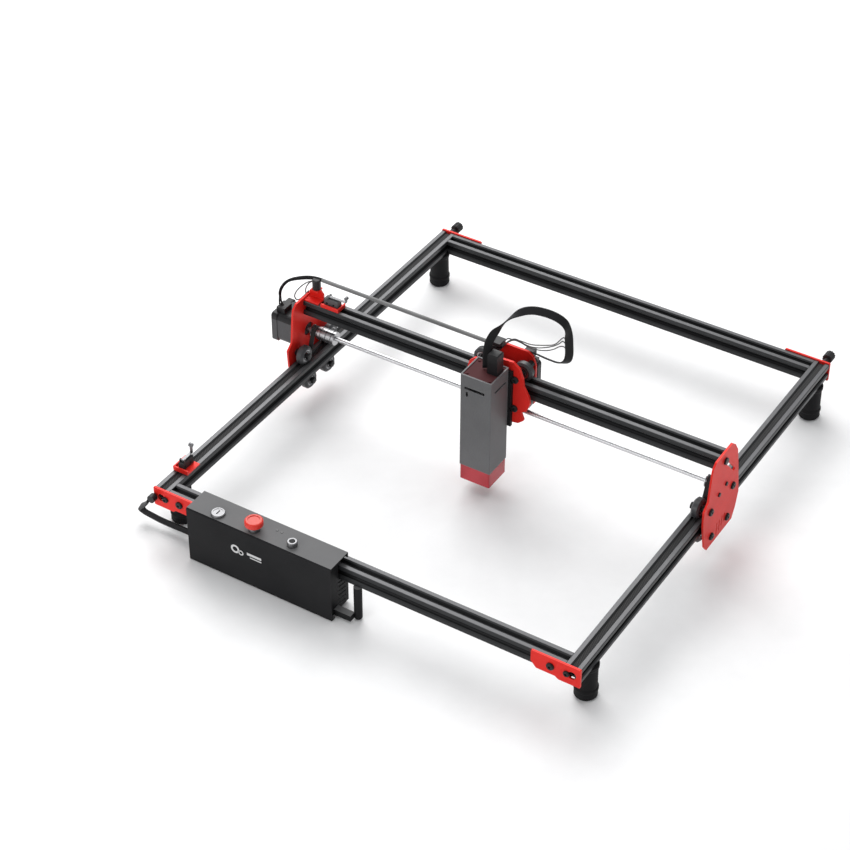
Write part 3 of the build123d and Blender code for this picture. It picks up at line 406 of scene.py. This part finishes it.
# translucent red light shield
shield = Shader("red_shield").set(through=0.42, rough=0.22, ior=1.49, spec=0.25)
shield_drift = shield.noise(shield.mapping((1, 1, 1)), 40)
shield.colour(shield.ramp(shield_drift, [(0.3, (0.56, 0.045, 0.060)), (0.7, (0.66, 0.065, 0.085))]))
shield.bump(shield.noise(shield.mapping((1, 1, 1)), 600), 1e-5)

# circuit board
board = Shader("circuit_board").set(rough=0.4)
cells = board.add("ShaderNodeTexVoronoi", feature="F1", distance="MANHATTAN")
cells.inputs["Scale"].default_value = 160.0
board.link(board.mapping((1, 1, 0.2)), cells.inputs["Vector"])
traces = board.ramp(cells.outputs["Distance"], [(0.1, (0.35, 0.30, 0.12)), (0.2, (0.02, 0.12, 0.05)),
                                                (0.8, (0.01, 0.07, 0.03))])
place = board.add("ShaderNodeSeparateXYZ")
board.link(board.coords.outputs["Object"], place.inputs["Vector"])
lamps = board.math("GREATER_THAN", place.outputs["Z"], 0.066)
socket = board.math("LESS_THAN", place.outputs["X"], at(INLET_TO_X, 0, 0).x)
board.colour(board.mix(board.math("MAXIMUM", lamps, socket), traces, (0.03, 0.03, 0.032)))
board.bump(cells.outputs["Distance"], 1e-4)

# heatsink of bare alloy; the fan frame and the tall plug above it are black plastic
sink = Shader("sink_and_plug").set(spec=0.3)
height = sink.add("ShaderNodeSeparateXYZ")
sink.link(sink.coords.outputs["Object"], height.inputs["Vector"])
upper = sink.math("GREATER_THAN", height.outputs["Z"], at(0, 0, SINK_TOP_Z).z)
brushed = sink.noise(sink.mapping((1, 1, 0.1)), 900)
sink.colour(sink.mix(upper, sink.ramp(brushed, [(0.35, (0.50, 0.51, 0.53)), (0.65, (0.62, 0.63, 0.65))]),
                     (0.010, 0.010, 0.011)))
sink.link(sink.math("SUBTRACT", 1.0, upper), sink.bsdf.inputs["Metallic"])
sink.roughness(sink.spread(brushed, 0.36, 0.5))
sink.bump(brushed, 2e-5)

for name in ("profile_front", "profile_back", "x_beam"):
    paint(name, black_x)
for name in ("rail_left", "rail_right"):
    paint(name, black_y)
for name in ("corner_plates", "gantry_plate_left", "gantry_plate_right", "carriage_front_plate",
             "carriage_back_plate", "beam_brackets"):
    paint(name, red)
for name in ("control_cover", "control_chassis", "box_stay"):
    paint(name, powder)
for name in ("frame_screws", "gantry_screws", "carriage_screws"):
    paint(name, dark_steel)
for name in ("y_belts", "gantry_belts", "x_belt_loop"):
    paint(name, belt)
for name in ("switch_bezels", "key_rotor"):
    paint(name, bright)
for name in ("y_switch_lever", "x_switch_lever"):
    paint(name, lever)
for name in ("tension_knob_left", "tension_knob_right", "y_switch", "laser_fan"):
    paint(name, plastic)

# the limit switch on the beam is dull grey, the clamp and post beside it are black
fittings = surface("post_and_switch", (0.008, 0.008, 0.009), (0.018, 0.018, 0.019), (0.42, 0.56), 0.0, 1400,
                   bump=3e-5, spec=0.3)
along_beam = fittings.add("ShaderNodeSeparateXYZ")
fittings.link(fittings.coords.outputs["Object"], along_beam.inputs["Vector"])
is_switch = fittings.math("GREATER_THAN", along_beam.outputs["X"], at(SWITCH_FROM_X, 0, 0).x)
post_colour = fittings.bsdf.inputs["Base Color"].links[0].from_socket
fittings.colour(fittings.mix(is_switch, post_colour, (0.085, 0.085, 0.088)))
# painted shade in the hollows of the post and the switch
paint_groove_shade(fittings, 0.1, 0.002, 0.3)
paint("beam_fittings", fittings)
paint("feet", rubber)
paint("focus_rail", inner_black)
paint("laser_housing", grey)
paint("laser_cover", maroon)
paint("laser_heatsink", sink)
paint("lens_barrel", brass)
paint("laser_shield", shield)
paint("focus_screw", steel)
paint("shaft_bearing", steel)
paint("cross_shaft", thread)
paint("x_pulley", steel)
paint("stop_head", red_cap)
paint("power_button", inner_black)
paint("control_board", board)
for name in nodes:
    if name.startswith("y_wheel"):
        paint(name, radial(name + "_finish", "X", centre_of(name), WHEEL_STOPS))
    if name.startswith("x_wheel"):
        paint(name, radial(name + "_finish", "Y", centre_of(name), WHEEL_STOPS))
low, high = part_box("y_motor")
paint("y_motor", motor_finish("y_motor_finish", "X", low.x, high.x - low.x, low.z + mm(Y_MOTOR_BAND_Z)))
paint("x_motor", motor_finish("x_motor_finish", "Y", at(0, X_MOTOR_BACK_Y, 0).y, mm(X_MOTOR_LENGTH)))


# ------------------------------------------------------------------ cords
def route(points):
    """Points along a smooth curve through the neighbourhood of the given control points, in metres."""
    curve = bpy.data.curves.new("route", "CURVE")
    curve.dimensions = "3D"
    spline = curve.splines.new("NURBS")
    spline.points.add(len(points) - 1)
    for target, point in zip(spline.points, points):
        target.co = (*at(*point), 1.0)
    spline.order_u = 3
    spline.use_endpoint_u = True
    curve.resolution_u = 12
    holder = bpy.data.objects.new("route", curve)
    mesh = bpy.data.meshes.new_from_object(holder)
    line = [v.co.copy() for v in mesh.vertices]
    bpy.data.objects.remove(holder)
    bpy.data.curves.remove(curve)
    bpy.data.meshes.remove(mesh)
    return line


def spread_along(line, keys):
    """Interpolate key vectors, given as (share of the length, vector), along a line."""
    lengths = [0.0]
    for a, b in zip(line, line[1:]):
        lengths.append(lengths[-1] + (b - a).length)
    result = []
    for length in lengths:
        share = length / lengths[-1]
        for (s0, v0), (s1, v1) in zip(keys, keys[1:]):
            if share <= s1 + 1e-9:
                t = (share - s0) / (s1 - s0)
                t = t * t * (3 - 2 * t)
                result.append(Vector(v0).lerp(Vector(v1), t))
                break
    return result


def new_piece(name, mesh, shader, smooth=True):
    mesh.materials.append(shader.mat)
    for polygon in mesh.polygons:
        polygon.use_smooth = smooth
    obj = bpy.data.objects.new(name, mesh)
    scene.collection.objects.link(obj)
    return obj


def tube(name, line, section, shader, sides=None):
    """Closed tube along a line. section: (across, up) offsets in metres; sides: the across direction at
    each point, or None for a round cable."""
    mesh = bpy.data.meshes.new(name)
    bm = bmesh.new()
    rings = []
    across = Vector((0, 0, 1)).cross(line[1] - line[0])
    if across.length < 1e-6:
        across = Vector((1, 0, 0))
    for i, point in enumerate(line):
        tangent = (line[min(i + 1, len(line) - 1)] - line[max(i - 1, 0)]).normalized()
        if sides is not None:
            across = sides[i]
        across = (across - tangent * across.dot(tangent)).normalized()
        up = tangent.cross(across).normalized()
        rings.append([bm.verts.new(point + across * u + up * v) for u, v in section])
    count = len(section)
    for first, second in zip(rings, rings[1:]):
        for k in range(count):
            bm.faces.new((first[k], first[(k + 1) % count], second[(k + 1) % count], second[k]))
    bm.faces.new(rings[0][::-1])
    bm.faces.new(rings[-1])
    bm.to_mesh(mesh)
    bm.free()
    return new_piece(name, mesh, shader)


def circle(radius, count=12):
    return [(radius * cos(2 * pi * k / count), radius * sin(2 * pi * k / count)) for k in range(count)]


def band(width, thick, ribs=0):
    """Flat section with rounded edges; ribs run along it where the wires of a ribbon show."""
    half = width / 2
    steps = max(ribs * 4, 6)
    outline = []
    for k in range(steps + 1):
        u = -half + width * k / steps
        edge = min(1.0, (half - abs(u)) / (thick * 0.7) + 0.35)
        lift = 0.12 * sin(pi * ribs * (u + half) / width) ** 2 if ribs else 0.0
        outline.append((u, thick / 2 * (edge * (0.88 + lift))))
    return outline + [(u, -v) for u, v in outline[::-1]]


RIBBON = [(281.5, 281, 107.8), (279, 284, 130), (281, 290, 147), (290.5, 300, 162.5), (303, 305.7, 178),
          (319.5, 310.9, 187.5), (337.5, 315.9, 187.5), (354, 320.5, 182.5), (363.5, 324.2, 172),
          (363, 329.1, 149.5), (362, 334.3, 119), (353, 337.9, 105.5), (332.5, 342.6, 99),
          (310.4, 346.4, 98.2)]
line = route(RIBBON)
turns = spread_along(line, [(0.0, (0.85, 0.53, 0)), (0.15, (0.85, 0.53, 0)), (0.25, (0.1, 0.95, 0.1)),
                            (0.36, (-0.1, 0.72, 0.68)), (0.56, (0.0, 0.72, 0.68)), (0.68, (0.85, 0.5, 0.1)),
                            (0.82, (0.85, 0.53, 0)), (0.91, (0.3, 0.75, -0.55)), (1.0, (0.2, 0.75, -0.6))])
ribbon = tube("laser_flat_cable", line, band(0.0100, 0.0017, 5), jacket, turns)
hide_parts("laser_ribbon")
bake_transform(ribbon)

LEAD = [(62.9, 6.5, -58.5), (40, 7, -57.4), (19, 7, -57.9), (0, 7, -58.4), (-16, 7.5, -57.4),
        (-27.5, 7, -55.5), (-29.5, 4, -47), (-20.5, 0, -38), (-11.5, -3.5, -28), (-5.6, -6.6, -18)]
line = route(LEAD)
turns = spread_along(line, [(0.0, (0, 0.1, 1)), (0.55, (0, 0.15, 1)), (0.8, (0.5, 0.2, 0.8)),
                            (1.0, (0.3, 0.5, 0.8))])
lead = tube("box_flat_lead", line, band(0.0086, 0.0042, 0), jacket, turns)
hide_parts("box_lead")
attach(lead, "base")

# straight cable above the beam: a bundle in a sleeve, held at the post and at the carriage
trunk_start, trunk_end = TRUNK_X
line = [at(trunk_start + (trunk_end - trunk_start) * k / TRUNK_STEPS, TRUNK_Y, TRUNK_Z)
        for k in range(TRUNK_STEPS + 1)]
trunk = tube("trunk_sleeve", line, circle(0.0025, 16), sleeve)
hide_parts("trunk_cable")
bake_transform(trunk)

# wires from the gantry motor up to the post, and two thin ones down to the X limit switch
MOTOR_WIRES = [
    [(-40, 314, 57), (-42, 317, 65), (-42, 320, 75), (-34, 323, 89), (-12, 326, 99), (6, 328, 104),
     (17, 329, 105.5)],
    [(-37, 315, 57), (-41.5, 318, 65), (-41, 321, 77), (-31, 324, 91), (-10, 327, 102), (7, 328, 106),
     (18, 329, 106)],
    [(-34, 314, 57), (-42, 316, 66), (-42, 319, 78), (-32, 322, 93), (-9, 326, 104), (8, 329, 107),
     (19, 330, 106)],
]
SWITCH_WIRES = [
    [(16, 330.5, 103), (2, 328, 101), (-14, 327, 88), (-26, 326, 70), (-23, 326, 62), (-14, 325, 68),
     (-3, 326, 84)],
    [(16, 331, 104), (0, 329, 99), (-8, 328, 88), (-9, 327, 78), (-5, 326, 73.5)],
]
for number, points in enumerate(MOTOR_WIRES + SWITCH_WIRES, 1):
    line = route(points)
    thick = 0.0011 if number <= 3 else 0.0008
    wire = tube(f"gantry_wire_{number}", line, circle(thick, 8), jacket if number <= 3 else wire_grey)
    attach(wire, "gantry")

# thin wires that leave the straight cable at the carriage and run to its motor
CARRIAGE_WIRES = [
    [(273, 330, 106), (274, 338, 113), (281, 342, 110), (291, 343, 112), (305, 343, 111), (324, 343, 118),
     (338, 343, 124), (346, 343, 137), (352, 340, 143), (357, 336, 136)],
    [(273, 330, 105), (277, 337, 109), (285, 341, 115), (297, 343, 108), (312, 343, 109), (330, 344, 117),
     (342, 344, 126), (350, 341, 138), (358, 336, 132)],
    [(273, 331, 104), (280, 339, 112), (290, 342, 111), (303, 344, 105), (320, 345, 107), (334, 345, 114),
     (344, 343, 125), (354, 338, 131), (359, 336, 126)],
]
for number, points in enumerate(CARRIAGE_WIRES, 1):
    line = route(points)
    wire = tube(f"carriage_wire_{number}", line, circle(0.0007, 8), wire_grey)
    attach(wire, "carriage")


# ------------------------------------------------------------------ small printed mark on the box
def ring_mark(bm, x, z, outer, inner, y, sides=28):
    """Flat ring standing just proud of the box's front."""
    rings = []
    for radius, out in ((inner, 0.0), (inner, MARK_RELIEF), (outer, MARK_RELIEF), (outer, 0.0)):
        rings.append([bm.verts.new(at(x + radius * cos(2 * pi * k / sides), y - out,
                                      z + radius * sin(2 * pi * k / sides))) for k in range(sides)])
    for first, second in zip(rings, rings[1:]):
        for k in range(sides):
            bm.faces.new((first[k], first[(k + 1) % sides], second[(k + 1) % sides], second[k]))


def bar_mark(bm, x0, x1, z0, z1, y):
    corners = [(x0, z0), (x1, z0), (x1, z1), (x0, z1)]
    back = [bm.verts.new(at(x, y, z)) for x, z in corners]
    front = [bm.verts.new(at(x, y - MARK_RELIEF, z)) for x, z in corners]
    bm.faces.new(front)
    for k in range(4):
        bm.faces.new((back[k], back[(k + 1) % 4], front[(k + 1) % 4], front[k]))


mesh = bpy.data.meshes.new("printed_mark")
bm = bmesh.new()
ring_mark(bm, 129.5, -20.0, 6.0, 3.4, BOX_FACE_Y)
ring_mark(bm, 137.5, -22.5, 3.6, 2.0, BOX_FACE_Y)
bar_mark(bm, 146, 166, -21.5, -18.0, BOX_FACE_Y)
bar_mark(bm, 150, 166, -25.0, -23.4, BOX_FACE_Y)
bm.to_mesh(mesh)
bm.free()
plate_mark = new_piece("printed_mark", mesh, mark, False)
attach(plate_mark, "base")


# ------------------------------------------------------------------ floor and light
def floor():
    mesh = bpy.data.meshes.new("floor")
    bm = bmesh.new()
    size = 4.0
    corners = [bm.verts.new((x * size, y * size, FLOOR_Z)) for x, y in ((-1, -1), (1, -1), (1, 1), (-1, 1))]
    bm.faces.new(corners)
    bm.to_mesh(mesh)
    bm.free()
    s = surface("floor_white", (0.86, 0.86, 0.86), (0.90, 0.90, 0.90), (0.55, 0.7), 0.0, 30, bump=1e-6)
    obj = new_piece("floor", mesh, s, False)


def area_light(name, place, aim_at, size, power, colour=(1, 1, 1)):
    data = bpy.data.lights.new(name, "AREA")
    data.shape = "RECTANGLE"
    data.size, data.size_y = size
    data.energy = power
    data.color = colour
    obj = bpy.data.objects.new(name, data)
    scene.collection.objects.link(obj)
    obj.location = place
    obj.rotation_euler = (Vector(aim_at) - Vector(place)).to_track_quat("-Z", "Y").to_euler()


floor()
world = bpy.data.worlds.new("studio")
scene.world = world
world.use_nodes = True
background = world.node_tree.nodes["Background"]
background.inputs["Color"].default_value = (0.97, 0.98, 1.0, 1.0)
background.inputs["Strength"].default_value = 0.50
area_light("key_back_left", (-1.20, 1.25, 1.75), (0.0, 0.0, 0.0), (2.0, 1.5), 52.0)
area_light("overhead", (0.1, 0.2, 2.4), (0.0, 0.0, 0.0), (1.8, 1.8), 18.0)
area_light("front_fill", (-0.5, -2.3, 0.9), (0.0, 0.0, 0.05), (1.6, 1.0), 16.0)
scene.view_settings.view_transform = "Standard"
